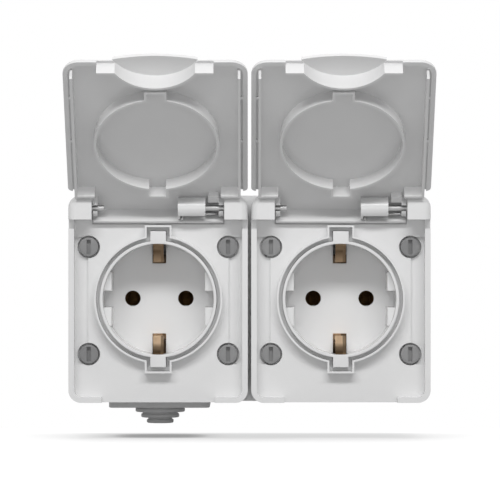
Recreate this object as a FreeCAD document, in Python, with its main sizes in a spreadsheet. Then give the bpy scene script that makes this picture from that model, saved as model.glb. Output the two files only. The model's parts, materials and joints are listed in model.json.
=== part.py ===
"""Double outdoor socket with two hinged lids, for fixing to a wall.

Millimetres. The origin is the centre of the back face at the height of the wells, X runs to the right,
the front faces -Y and Z is up. A depth is measured from the wall towards the front. Inside a lid, which is
drawn closed about its own hinge line, reach is measured down from that line and rise out from it.
"""

import FreeCAD, Part
import Sketcher
import math
import os
from FreeCAD import Placement, Rotation, Vector

doc = FreeCAD.newDocument("weatherproof_socket")
sheet = doc.addObject("Spreadsheet::Sheet", "Sizes")

SIZES = [
    ("unit_wide", 63.4, "width of a front frame and of a lid"),
    ("unit_gap", 1.2, "gap between the two units"),
    ("top_edge", 36.8, "top of the housing above the well centre"),
    ("low_edge", 36.6, "bottom of the housing below the well centre"),
    ("corner_round", 4.5, "radius of the outer corners"),
    ("box_deep", 32.0, "depth of the back box"),
    ("box_wall", 2.2, "side wall of the back box"),
    ("box_floor", 2.4, "rear wall of the back box"),
    ("back_round", 0.8, "rounding of the long rear edges of the box"),
    ("divider_wide", 5.4, "wall between the two chambers of the box"),
    ("wire_gate_half", 8.0, "half height of the wire gate in the divider"),
    ("wire_gate_top", 20.0, "depth of the front edge of the wire gate"),
    ("wall_hole_inset", 8.0, "wall screw hole from the side of the box"),
    ("wall_hole_up", 60.0, "distance between wall screw holes, up and down"),
    ("wall_hole_radius", 2.3, "radius of a wall screw hole"),
    ("seal_thick", 0.8, "thickness of the seal between box and frame"),
    ("seal_inset", 0.6, "seal edge behind the frame edge"),
    ("seal_wide", 1.5, "width of the seal cord"),
    ("rim_front", 48.0, "depth of the front of the frame rim"),
    ("rim_wide", 2.0, "width of the frame rim"),
    ("rim_gap_half", 20.0, "half width of the gap in the lower rim"),
    ("panel_front", 43.0, "depth of the front of the frame panel"),
    ("panel_thick", 2.6, "thickness of the frame panel"),
    ("recess_step", 1.2, "how far the side recesses lie behind the panel"),
    ("recess_edge", 24.9, "inner edge of a side recess from the unit centre"),
    ("recess_half", 22.6, "half height of a side recess"),
    ("rim_notch_low", 25.0, "bottom of the lowered rim beside a tower"),
    ("rim_notch_deep", 2.6, "how far the rim is lowered there"),
    ("screw_inset", 7.0, "cover screw from the side of its unit"),
    ("screw_up", 19.0, "cover screw above or below the middle of its side recess"),
    ("recess_drop", 0.5, "middle of a side recess below the well centre"),
    ("screw_head_radius", 3.35, "radius of a cover screw head"),
    ("screw_shank_radius", 2.0, "radius of a cover screw shank"),
    ("screw_head_thick", 4.0, "thickness of a cover screw head"),
    ("screw_long", 17.0, "length of a cover screw shank"),
    ("slot_long", 5.1, "length of the slot in a cover screw"),
    ("slot_wide", 1.45, "width of the slot in a cover screw"),
    ("slot_deep", 1.5, "depth of the slot in a cover screw"),
    ("pocket_radius", 4.0, "radius of the pocket round a cover screw"),
    ("pocket_floor", 39.5, "depth of the floor of that pocket"),
    ("boss_wall", 1.2, "wall of the frame boss behind a pocket"),
    ("boss_radius", 4.2, "radius of a screw boss in the box"),
    ("boss_top", 32.7, "depth of the front of a screw boss in the box"),
    ("boss_hole_floor", 21.0, "depth of the floor of the hole in that boss"),
    ("running_gap", 0.1, "clearance of a piece that slides in another"),
    ("fit_gap", 0.2, "clearance between neighbouring mouldings"),
    ("collar_inner", 19.6, "inner radius of the well"),
    ("collar_outer", 20.7, "outer radius of the well collar"),
    ("collar_front", 47.0, "depth of the front of the well collar"),
    ("well_deep", 17.5, "depth of the well below its collar"),
    ("well_floor_thick", 3.0, "thickness of the well floor"),
    ("collar_tab_half", 2.8, "half width of a tab on the collar"),
    ("collar_tab_reach", 24.1, "end of a collar tab from the well centre"),
    ("ridge_inner", 22.0, "inner radius of the ridge round the well"),
    ("ridge_wall", 0.7, "wall of that ridge"),
    ("ridge_tab_half", 4.05, "inner half width of a ridge tab"),
    ("ridge_tab_reach", 25.5, "inner end of a ridge tab from the well centre"),
    ("guide_chord", 16.5, "flat of the guide blocks from the well centre"),
    ("guide_low", 2.9, "inner end of a guide block"),
    ("guide_high", 9.5, "outer end of a guide block"),
    ("guide_front", 44.5, "depth of the front of the guide blocks"),
    ("pin_across", 19.0, "distance between the two pin holes"),
    ("pin_hole_radius", 2.75, "radius of a pin hole"),
    ("earth_slot_half", 2.4, "half width of the slot for an earth clip"),
    ("earth_slot_low", 12.6, "inner end of that slot from the well centre"),
    ("earth_slot_front", 45.0, "depth of the front end of that slot"),
    ("flange_radius", 23.0, "radius of the flange behind the panel"),
    ("flange_thick", 2.0, "thickness of that flange"),
    ("carrier_back", 10.0, "depth of the back of the contact carrier"),
    ("carrier_plate", 3.0, "thickness of the carrier plate"),
    ("carrier_half_wide", 20.3, "half width of the carrier plate"),
    ("carrier_half_tall", 28.6, "half height of the carrier plate"),
    ("core_half_wide", 14.6, "half width of the raised carrier core"),
    ("core_half_tall", 18.0, "half height of the raised carrier core"),
    ("mount_across", 17.4, "carrier screw from the unit centre"),
    ("mount_shank_radius", 1.4, "radius of a carrier screw shank"),
    ("mount_head_radius", 2.7, "radius of a carrier screw head"),
    ("mount_head_thick", 1.8, "thickness of a carrier screw head"),
    ("mount_long", 8.0, "length of a carrier screw below its head"),
    ("post_hole_floor", 4.4, "depth of the floor of the hole in a carrier post"),
    ("post_radius", 3.2, "radius of a carrier post in the box"),
    ("sheet_thick", 0.6, "thickness of the contact sheet metal"),
    ("leaf_half_tall", 2.5, "half height of a contact leaf"),
    ("leaf_pinch", 1.5, "leaf from the pin axis where it grips"),
    ("leaf_mouth", 2.6, "leaf from the pin axis at its mouth"),
    ("leaf_mouth_deep", 1.2, "mouth of the leaves behind the well floor"),
    ("leaf_root", 3.1, "leaf from the pin axis at its root"),
    ("terminal_across", 14.5, "line and neutral terminals from the centre"),
    ("terminal_down", 24.4, "terminals below the well centre"),
    ("terminal_side", 7.0, "width of a terminal block"),
    ("terminal_tall", 7.5, "depth of a terminal block"),
    ("terminal_screw_radius", 1.5, "radius of a terminal screw"),
    ("terminal_head_radius", 2.6, "radius of a terminal screw head"),
    ("wire_radius", 1.4, "radius of an insulated link wire"),
    ("earth_wide", 3.7, "width of an earth clip"),
    ("earth_base_wide", 5.6, "width of the earth bracket base"),
    ("earth_root", 15.0, "earth clip from the well centre at its root"),
    ("earth_bulge", 13.1, "earth clip from the well centre at its bulge"),
    ("earth_bend", 0.8, "half length of the straight part of that bulge"),
    ("earth_tip", 19.0, "earth clip from the well centre at its tip"),
    ("axis_up", 32.2, "hinge line above the well centre"),
    ("axis_deep", 46.0, "depth of the hinge line"),
    ("open_angle", 135.0, "lid opening at rest, in degrees"),
    ("tower_inner", 23.4, "inner face of a hinge tower from the unit centre"),
    ("tower_low", 28.2, "bottom of a hinge tower above the well centre"),
    ("tower_round", 2.2, "rounding of the top of a tower"),
    ("trough_floor", 39.0, "depth of the floor of the hinge trough"),
    ("trough_low", 26.5, "bottom of the hinge trough"),
    ("trough_skin", 2.0, "wall round the hinge trough"),
    ("lid_inner", 3.0, "rise of the inner face of the lid plate"),
    ("lid_outer", 4.6, "rise of the outer face of the lid plate"),
    ("lid_strip", 2.2, "rise of the strip that meets the rim"),
    ("lid_strip_wide", 1.7, "width of that strip"),
    ("lid_reach", 67.8, "free edge of the lid from its hinge line"),
    ("lid_end", 4.5, "hinge end of the lid behind its hinge line"),
    ("shoulder_reach", 6.4, "where the lid narrows between the towers"),
    ("lid_edge_round", 1.85, "rounding of the outer edges of the lid"),
    ("lid_corner_round", 5.6, "radius of the free corners of the lid"),
    ("rib_wall", 0.9, "wall of the ribs in the lid"),
    ("rib_inset", 2.5, "side rib from the lid edge"),
    ("rib_foot", 2.0, "how far the ribs stand behind the hinge line"),
    ("rib_end", 64.0, "end of the side ribs"),
    ("notch_reach", 6.9, "notch wall from the hinge line"),
    ("notch_inner", 22.2, "inner end of a notch wall from the centre"),
    ("web_reach_low", 30.0, "near web between strip and rib"),
    ("web_reach_high", 50.5, "far web between strip and rib"),
    ("front_wall_half", 20.0, "half width of the wall at the free edge"),
    ("front_wall_inset", 1.2, "outer face of that wall behind the free edge"),
    ("grip_radius", 17.7, "radius of the arc of the finger recess"),
    ("grip_top", 58.6, "nearest point of that arc to the hinge line"),
    ("lip_reach", 68.1, "edge of the domed lip"),
    ("lip_middle", 68.0, "middle of the dome of the lip"),
    ("lip_base", 14.6, "radius of the foot of that dome"),
    ("lip_radius", 62.0, "radius of the dome of the lip"),
    ("lip_thick", 1.2, "thickness of the domed lip"),
    ("ring_outer", 21.8, "outer radius of the ring in the lid"),
    ("ring_tab_half", 3.85, "outer half width of a tab on that ring"),
    ("ring_tab_reach", 25.3, "outer end of a ring tab from its centre"),
    ("ear_inner", 21.4, "inner face of a lid ear from the centre"),
    ("ear_outer", 23.0, "outer face of a lid ear from the centre"),
    ("ear_radius", 2.9, "radius of a lid ear about the hinge line"),
    ("ear_mouth_half", 1.0, "half width of the mouth by which an ear snaps on its pin"),
    ("stay_inner", 17.7, "inner side of the block beside the spring leg"),
    ("stay_near", 2.6, "near face of that block from the hinge line"),
    ("stay_far", 5.2, "far face of that block from the hinge line"),
    ("stay_foot", 0.2, "rise of the foot of that block"),
    ("end_wall_foot", 3.0, "how far the hinge end wall stands back"),
    ("barrel_near", 7.0, "inner end of the spring barrel"),
    ("barrel_far", 16.7, "outer end of the spring barrel"),
    ("barrel_radius", 3.9, "radius of the spring barrel"),
    ("barrel_bore", 2.8, "bore of the spring barrel"),
    ("barrel_slot", 2.5, "width of the slot in the spring barrel"),
    ("pin_radius", 1.1, "radius of a hinge pin"),
    ("pin_seat", 6.0, "length of a pin inside its tower"),
    ("stub_reach", 19.2, "inner end of the short pin from the centre"),
    ("coil_radius", 2.05, "radius of the spring coil at its wire centre"),
    ("coil_wire", 0.8, "diameter of the spring wire"),
    ("coil_start", 1.5, "near end of the coil inside the barrel"),
    ("coil_turns", 5, "turns of the spring"),
    ("coil_pitch", 1.3, "pitch of the spring"),
    ("gland_deep", 16.0, "depth of the cable gland centre"),
    ("gland_plate_wide", 36.2, "width of the gland plate"),
    ("gland_plate_deep", 28.0, "size of the gland plate front to back"),
    ("gland_plate_thick", 2.6, "thickness of the gland plate"),
    ("gland_step", 2.0, "height of a gland step"),
    ("gland_first", 8.95, "radius of the first gland step"),
    ("gland_second", 6.9, "radius of the second gland step"),
    ("gland_third", 4.85, "radius of the third gland step"),
    ("gland_groove", 0.55, "depth and height of a groove between steps"),
    ("gland_neck", 9.2, "radius of the gland where it passes the wall"),
    ("gland_lip", 10.6, "radius of the gland lip inside the box"),
    ("gland_lip_thick", 1.3, "thickness of that lip"),
    ("gland_bore", 5.6, "radius of the gland's inner bore"),
]


class Measure:
    """A length kept both as a number and as the text that binds a property to the sheet."""

    def __init__(self, text, number):
        self.text = text
        self.number = number

    def joined(self, other, sign, number, swapped=False):
        other_text = other.text if isinstance(other, Measure) else repr(float(other))
        first, second = (other_text, self.text) if swapped else (self.text, other_text)
        return Measure(f"({first} {sign} {second})", number)

    def __add__(self, other):
        return self.joined(other, "+", self.number + plain(other))

    def __radd__(self, other):
        return self.joined(other, "+", plain(other) + self.number, swapped=True)

    def __sub__(self, other):
        return self.joined(other, "-", self.number - plain(other))

    def __rsub__(self, other):
        return self.joined(other, "-", plain(other) - self.number, swapped=True)

    def __mul__(self, other):
        return self.joined(other, "*", self.number * plain(other))

    def __rmul__(self, other):
        return self.joined(other, "*", plain(other) * self.number, swapped=True)

    def __truediv__(self, other):
        return self.joined(other, "/", self.number / plain(other))

    def __neg__(self):
        return Measure(f"(-1 * {self.text})", -self.number)


class Sheet:
    """The named sizes, each as a Measure."""


def plain(value):
    return value.number if isinstance(value, Measure) else float(value)


def root(value):
    """Square root of a Measure."""
    return Measure(f"sqrt({value.text})", math.sqrt(value.number))


size = Sheet()
for row, (alias, value, meaning) in enumerate(SIZES, 1):
    sheet.set(f"A{row}", meaning)
    sheet.set(f"B{row}", str(value))
    sheet.setAlias(f"B{row}", alias)
doc.recompute()
for alias, value, meaning in SIZES:
    setattr(size, alias, Measure(f"Sizes.{alias}", float(sheet.get(alias))))


def bind(thing, path, value):
    """Bind a property to the sheet, or set it where it is a plain number."""
    if isinstance(value, Measure):
        thing.setExpression(path, value.text)
    else:
        thing.setExpression(path, str(float(value)))


SUB_PARTS = []


def new_body(name, across=0, deep=0, up=0):
    """A named sub-part whose own origin lies at these offsets."""
    body = doc.addObject("PartDesign::Body", name)
    body.Label = name
    bind(body, "Placement.Base.x", across)
    bind(body, "Placement.Base.y", -1 * deep)
    bind(body, "Placement.Base.z", up)
    SUB_PARTS.append(body)
    return body


def new_sketch(body, name, plane, offset=0):
    """A sketch on one of the body's origin planes, moved along that plane's normal."""
    found = [feature for feature in body.Origin.OriginFeatures if feature.Role == plane]
    sketch = body.newObject("Sketcher::SketchObject", name)
    sketch.AttachmentSupport = (found[0], [""])
    sketch.MapMode = "FlatFace"
    bind(sketch, "AttachmentOffset.Base.z", offset)
    return sketch


def place(sketch, geometry, point, across, up):
    """Bind a point of a sketch to its distances from the sketch's origin."""
    for kind, value, axis in (("DistanceX", across, -2), ("DistanceY", up, -1)):
        if value is None:
            continue
        if isinstance(value, (int, float)) and value == 0:
            sketch.addConstraint(Sketcher.Constraint("PointOnObject", geometry, point, axis))
            continue
        number = plain(value)
        row = sketch.addConstraint(Sketcher.Constraint(kind, -1, 1, geometry, point, number))
        if isinstance(value, Measure):
            sketch.setExpression(f"Constraints[{row}]", value.text)


def polygon(sketch, corners):
    """Closed outline through the corners, each bound to its own place."""
    points = [Vector(plain(across), plain(up), 0) for across, up in corners]
    count = len(points)
    first = sketch.GeometryCount
    for index in range(count):
        sketch.addGeometry(Part.LineSegment(points[index], points[(index + 1) % count]), False)
    for index in range(count):
        after = first + (index + 1) % count
        sketch.addConstraint(Sketcher.Constraint("Coincident", first + index, 2, after, 1))
    for index, (across, up) in enumerate(corners):
        place(sketch, first + index, 1, across, up)


def rectangle(sketch, left, right, low, high):
    polygon(sketch, [(left, low), (right, low), (right, high), (left, high)])


def circle(sketch, across, up, radius):
    centre = Vector(plain(across), plain(up), 0)
    row = sketch.addGeometry(Part.Circle(centre, Vector(0, 0, 1), plain(radius)), False)
    place(sketch, row, 3, across, up)
    bound = sketch.addConstraint(Sketcher.Constraint("Radius", row, plain(radius)))
    if isinstance(radius, Measure):
        sketch.setExpression(f"Constraints[{bound}]", radius.text)


def arc(sketch, up, radius, start, end):
    """Arc about a point on the middle line, from the start angle to the end angle."""
    ring = Part.Circle(Vector(0, plain(up), 0), Vector(0, 0, 1), plain(radius))
    return sketch.addGeometry(Part.ArcOfCircle(ring, start, end), False)


def rounded(sketch, left, right, low, high, radius):
    """Rectangle with round corners."""
    x0, x1, y0, y1, r = (plain(value) for value in (left, right, low, high, radius))
    first = sketch.GeometryCount
    lines = [
        (Vector(x0 + r, y0, 0), Vector(x1 - r, y0, 0)),
        (Vector(x1, y0 + r, 0), Vector(x1, y1 - r, 0)),
        (Vector(x1 - r, y1, 0), Vector(x0 + r, y1, 0)),
        (Vector(x0, y1 - r, 0), Vector(x0, y0 + r, 0)),
    ]
    middles = [(x1 - r, y0 + r), (x1 - r, y1 - r), (x0 + r, y1 - r), (x0 + r, y0 + r)]
    for index in range(4):
        sketch.addGeometry(Part.LineSegment(*lines[index]), False)
        ring = Part.Circle(Vector(*middles[index], 0), Vector(0, 0, 1), r)
        start = (index - 1) * math.pi / 2
        sketch.addGeometry(Part.ArcOfCircle(ring, start, start + math.pi / 2), False)
    for index in range(4):
        line = first + 2 * index
        bend = line + 1
        after = first + (2 * index + 2) % 8
        sketch.addConstraint(Sketcher.Constraint("Tangent", line, 2, bend, 1))
        sketch.addConstraint(Sketcher.Constraint("Tangent", bend, 2, after, 1))
        if index:
            sketch.addConstraint(Sketcher.Constraint("Equal", first + 1, bend))
    for index, kind in enumerate(("Horizontal", "Vertical", "Horizontal", "Vertical")):
        if index < 3:
            sketch.addConstraint(Sketcher.Constraint(kind, first + 2 * index))
    bound = sketch.addConstraint(Sketcher.Constraint("Radius", first + 1, r))
    if isinstance(radius, Measure):
        sketch.setExpression(f"Constraints[{bound}]", radius.text)
    place(sketch, first, 1, None, low)
    place(sketch, first + 2, 1, right, None)
    place(sketch, first + 4, 1, None, high)
    place(sketch, first + 6, 1, left, None)


def tabbed_circle(sketch, up, radius, tab_half, tab_reach):
    """Circle about a point on the middle line, with a square tab at its top and at its bottom."""
    r, w, t, c = (plain(value) for value in (radius, tab_half, tab_reach, up))
    rise = math.sqrt(r * r - w * w)
    lean = math.atan2(rise, w)
    first = sketch.GeometryCount
    ring = Part.Circle(Vector(0, c, 0), Vector(0, 0, 1), r)
    sketch.addGeometry(Part.ArcOfCircle(ring, -lean, lean), False)
    sketch.addGeometry(Part.LineSegment(Vector(w, c + rise, 0), Vector(w, c + t, 0)), False)
    sketch.addGeometry(Part.LineSegment(Vector(w, c + t, 0), Vector(-w, c + t, 0)), False)
    sketch.addGeometry(Part.LineSegment(Vector(-w, c + t, 0), Vector(-w, c + rise, 0)), False)
    sketch.addGeometry(Part.ArcOfCircle(ring, math.pi - lean, math.pi + lean), False)
    sketch.addGeometry(Part.LineSegment(Vector(-w, c - rise, 0), Vector(-w, c - t, 0)), False)
    sketch.addGeometry(Part.LineSegment(Vector(-w, c - t, 0), Vector(w, c - t, 0)), False)
    sketch.addGeometry(Part.LineSegment(Vector(w, c - t, 0), Vector(w, c - rise, 0)), False)
    for index in range(8):
        after = first + (index + 1) % 8
        sketch.addConstraint(Sketcher.Constraint("Coincident", first + index, 2, after, 1))
    for index, kind in ((1, "Vertical"), (3, "Vertical"), (5, "Vertical"), (7, "Vertical")):
        sketch.addConstraint(Sketcher.Constraint(kind, first + index))
    for index in (2, 6):
        sketch.addConstraint(Sketcher.Constraint("Horizontal", first + index))
    sketch.addConstraint(Sketcher.Constraint("Coincident", first, 3, first + 4, 3))
    sketch.addConstraint(Sketcher.Constraint("Equal", first, first + 4))
    place(sketch, first, 3, 0, up)
    bound = sketch.addConstraint(Sketcher.Constraint("Radius", first, r))
    if isinstance(radius, Measure):
        sketch.setExpression(f"Constraints[{bound}]", radius.text)
    place(sketch, first + 2, 1, tab_half, up + tab_reach)
    place(sketch, first + 2, 2, -1 * tab_half, None)
    place(sketch, first + 6, 1, -1 * tab_half, up - tab_reach)
    place(sketch, first + 6, 2, tab_half, None)


def settle(body):
    """Recompute and give the volume so far."""
    doc.recompute()
    return body.Shape.Volume if body.Tip else 0.0


def pad(body, name, draw, near, far, plane="XZ_Plane"):
    """Material between two depths, with the outline that draw puts in the sketch."""
    before = settle(body)
    sketch = new_sketch(body, name + "_outline", plane, near)
    draw(sketch)
    feature = body.newObject("PartDesign::Pad", name)
    feature.Profile = sketch
    bind(feature, "Length", far - near)
    if settle(body) <= before:
        raise RuntimeError(f"{body.Label}: {name} adds nothing")
    return feature


def pocket(body, name, draw, front, back, plane="XZ_Plane"):
    """A cut from one depth back to another."""
    before = settle(body)
    sketch = new_sketch(body, name + "_outline", plane, front)
    draw(sketch)
    feature = body.newObject("PartDesign::Pocket", name)
    feature.Profile = sketch
    bind(feature, "Length", front - back)
    if settle(body) >= before:
        raise RuntimeError(f"{body.Label}: {name} cuts nothing")
    return feature


def fillet(body, name, wanted, radius):
    """Round the edges of the body for which wanted gives true."""
    doc.recompute()
    base = body.Tip
    names = [f"Edge{row}" for row, edge in enumerate(base.Shape.Edges, 1) if wanted(edge)]
    if not names:
        raise RuntimeError(f"{body.Label}: {name} finds no edge")
    feature = body.newObject("PartDesign::Fillet", name)
    feature.Base = (base, names)
    bind(feature, "Radius", radius)
    doc.recompute()
    return feature


def lies_at(edge, axis, value):
    """Is the whole edge at this coordinate of its axis?"""
    box = edge.BoundBox
    low = getattr(box, axis + "Min")
    high = getattr(box, axis + "Max")
    return abs(low - plain(value)) < 0.01 and abs(high - plain(value)) < 0.01


def mirrored_pairs(across, up):
    """The four places at these distances either side of the middle."""
    return [(-1 * across, -1 * up), (across, -1 * up), (across, up), (-1 * across, up)]


NOTHING = Measure("0", 0)
pitch = size.unit_wide + size.unit_gap
half_unit = size.unit_wide / 2
frame_back = size.box_deep + size.seal_thick
panel_back = size.panel_front - size.panel_thick
floor_front = size.collar_front - size.well_deep
floor_back = floor_front - size.well_floor_thick
carrier_front = size.carrier_back + size.carrier_plate
contact_front = carrier_front + size.sheet_thick
block_front = contact_front + size.terminal_tall
head_back = size.pocket_floor + size.running_gap
head_front = head_back + size.screw_head_thick
flange_front = panel_back - size.running_gap
flange_back = flange_front - size.flange_thick
tower_front = size.axis_deep + size.lid_outer
screw_across = half_unit - size.screw_inset
screw_pairs = mirrored_pairs(screw_across, size.screw_up)
screw_places = [(across, up - size.recess_drop) for across, up in screw_pairs]
SIDES = (("left", -1), ("right", 1))


def unit_centre(sign):
    return sign * pitch / 2


def back_box():
    """Open box with two chambers, cover screw bosses, carrier posts and the holes in its walls."""
    body = new_body("back_box")
    half_wide = (pitch + size.unit_wide) / 2
    inner_round = size.corner_round - size.box_wall

    def outline(sketch):
        rounded(sketch, -1 * half_wide, half_wide, -1 * size.low_edge, size.top_edge, size.corner_round)

    def chambers(sketch):
        low = size.box_wall - size.low_edge
        high = size.top_edge - size.box_wall
        far = half_wide - size.box_wall
        near = size.divider_wide / 2
        rounded(sketch, -1 * far, -1 * near, low, high, inner_round)
        rounded(sketch, near, far, low, high, inner_round)

    def boss_circles(radius):
        def draw(sketch):
            for side, sign in SIDES:
                for across, up in screw_places:
                    circle(sketch, unit_centre(sign) + across, up, radius)

        return draw

    def post_circles(radius):
        def draw(sketch):
            for side, sign in SIDES:
                for way in (-1, 1):
                    circle(sketch, unit_centre(sign) + way * size.mount_across, 0, radius)

        return draw

    def wall_holes(sketch):
        for across, up in mirrored_pairs(half_wide - size.wall_hole_inset, size.wall_hole_up / 2):
            circle(sketch, across, up, size.wall_hole_radius)

    def gate(sketch):
        low = -1 * size.wire_gate_half
        rectangle(sketch, -1 * size.wire_gate_top, -2 * size.box_floor, low, size.wire_gate_half)

    def cable_hole(sketch):
        radius = size.gland_neck + size.running_gap
        circle(sketch, unit_centre(-1), -1 * size.gland_deep, radius)

    pad(body, "shell", outline, NOTHING, size.box_deep)
    pocket(body, "chambers", chambers, size.box_deep, size.box_floor)
    pad(body, "bosses", boss_circles(size.boss_radius), size.box_floor, size.boss_top)
    pad(body, "posts", post_circles(size.post_radius), size.box_floor, size.carrier_back)
    boss_hole = size.screw_shank_radius + size.running_gap
    post_hole = size.mount_shank_radius + size.running_gap
    pocket(body, "boss_holes", boss_circles(boss_hole), size.boss_top, size.boss_hole_floor)
    pocket(body, "post_holes", post_circles(post_hole), size.carrier_back, size.post_hole_floor)
    pocket(body, "wall_holes", wall_holes, size.box_floor, NOTHING)
    half_divider = size.divider_wide / 2
    pocket(body, "wire_gate", gate, half_divider, -1 * half_divider, "YZ_Plane")
    pocket(body, "cable_hole", cable_hole, size.box_wall - size.low_edge, -1 * size.low_edge, "XY_Plane")
    hole_length = 2 * math.pi * plain(size.wall_hole_radius)

    def outer_edge(edge):
        return lies_at(edge, "Y", 0) and edge.Length > 1.1 * hole_length

    fillet(body, "back_edges", outer_edge, size.back_round)
    return body


def cable_gland():
    """Stepped rubber gland under the box: plate, three steps with grooves, and a lip inside the wall."""
    body = new_body("cable_gland", unit_centre(-1), size.gland_deep, -1 * size.low_edge)
    thick = size.gland_plate_thick
    step = size.gland_step
    groove = size.gland_groove
    lip_low = size.box_wall + size.running_gap
    lip_high = lip_low + size.gland_lip_thick

    def plate(sketch):
        wide = size.gland_plate_wide / 2
        deep = size.gland_plate_deep / 2
        rounded(sketch, -1 * wide, wide, -1 * deep, deep, size.corner_round / 2)

    def section(sketch):
        tip = -1 * thick - 3 * step
        corners = [(0, tip), (size.gland_third, tip)]
        for row, radius in ((2, size.gland_third), (1, size.gland_second), (0, size.gland_first)):
            top = -1 * thick - row * step
            wider = (size.gland_neck, size.gland_first, size.gland_second)[row]
            corners += [(radius, top - groove), (radius - groove, top - groove), (radius - groove, top)]
            corners += [(wider, top)]
        corners += [(size.gland_neck, lip_low), (size.gland_lip, lip_low)]
        corners += [(size.gland_lip - groove, lip_high), (size.gland_bore, lip_high)]
        corners += [(size.gland_bore, -1 * thick - step), (size.gland_bore / 2, -1 * thick - 2 * step)]
        corners += [(0, -1 * thick - 2 * step)]
        polygon(sketch, corners)

    pad(body, "plate", plate, -1 * thick, NOTHING, "XY_Plane")
    before = settle(body)
    sketch = new_sketch(body, "steps_section", "XZ_Plane")
    section(sketch)
    turned = body.newObject("PartDesign::Revolution", "steps")
    turned.Profile = sketch
    turned.ReferenceAxis = (sketch, ["V_Axis"])
    turned.Angle = 360
    if settle(body) <= before:
        raise RuntimeError("the gland's steps add nothing")

    def bore(sketch):
        circle(sketch, 0, 0, size.gland_bore)

    pocket(body, "bore", bore, NOTHING, -1 * thick, "XY_Plane")
    return body


def frame_seal(side, sign):
    """Seal cord between the box and one front frame."""
    body = new_body(f"{side}_frame_seal", unit_centre(sign))

    def ring(sketch):
        for inset in (size.seal_inset, size.seal_inset + size.seal_wide):
            half = half_unit - inset
            low = inset - size.low_edge
            rounded(sketch, -1 * half, half, low, size.top_edge - inset, size.corner_round - inset)

    pad(body, "cord", ring, size.box_deep, frame_back)
    return body


def tower_outline(sketch, way):
    """Hinge tower seen from the front: a block whose outer top corner is round."""
    inner, outer = plain(size.tower_inner) * way, plain(half_unit) * way
    low, high, r = plain(size.tower_low), plain(size.top_edge), plain(size.corner_round)
    middle = outer - way * r
    first = sketch.GeometryCount
    ring = Part.Circle(Vector(middle, high - r, 0), Vector(0, 0, 1), r)
    corners = [Vector(inner, high, 0), Vector(inner, low, 0), Vector(outer, low, 0)]
    ends = [Vector(outer, high - r, 0), Vector(middle, high, 0)]
    sketch.addGeometry(Part.LineSegment(corners[0], corners[1]), False)
    sketch.addGeometry(Part.LineSegment(corners[1], corners[2]), False)
    sketch.addGeometry(Part.LineSegment(corners[2], ends[0]), False)
    start = 0 if way > 0 else math.pi / 2
    sketch.addGeometry(Part.ArcOfCircle(ring, start, start + math.pi / 2), False)
    sketch.addGeometry(Part.LineSegment(ends[1], corners[0]), False)
    near_end, far_end = (1, 2) if way > 0 else (2, 1)
    sketch.addConstraint(Sketcher.Constraint("Coincident", first, 2, first + 1, 1))
    sketch.addConstraint(Sketcher.Constraint("Coincident", first + 1, 2, first + 2, 1))
    sketch.addConstraint(Sketcher.Constraint("Tangent", first + 2, 2, first + 3, near_end))
    sketch.addConstraint(Sketcher.Constraint("Tangent", first + 3, far_end, first + 4, 1))
    sketch.addConstraint(Sketcher.Constraint("Coincident", first + 4, 2, first, 1))
    bound = sketch.addConstraint(Sketcher.Constraint("Radius", first + 3, r))
    sketch.setExpression(f"Constraints[{bound}]", size.corner_round.text)
    place(sketch, first, 1, way * size.tower_inner, size.top_edge)
    place(sketch, first + 1, 1, way * size.tower_inner, size.tower_low)
    place(sketch, first + 1, 2, way * half_unit, size.tower_low)
    sketch.addConstraint(Sketcher.Constraint("Vertical", first + 2))
    sketch.addConstraint(Sketcher.Constraint("Horizontal", first + 4))


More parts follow.
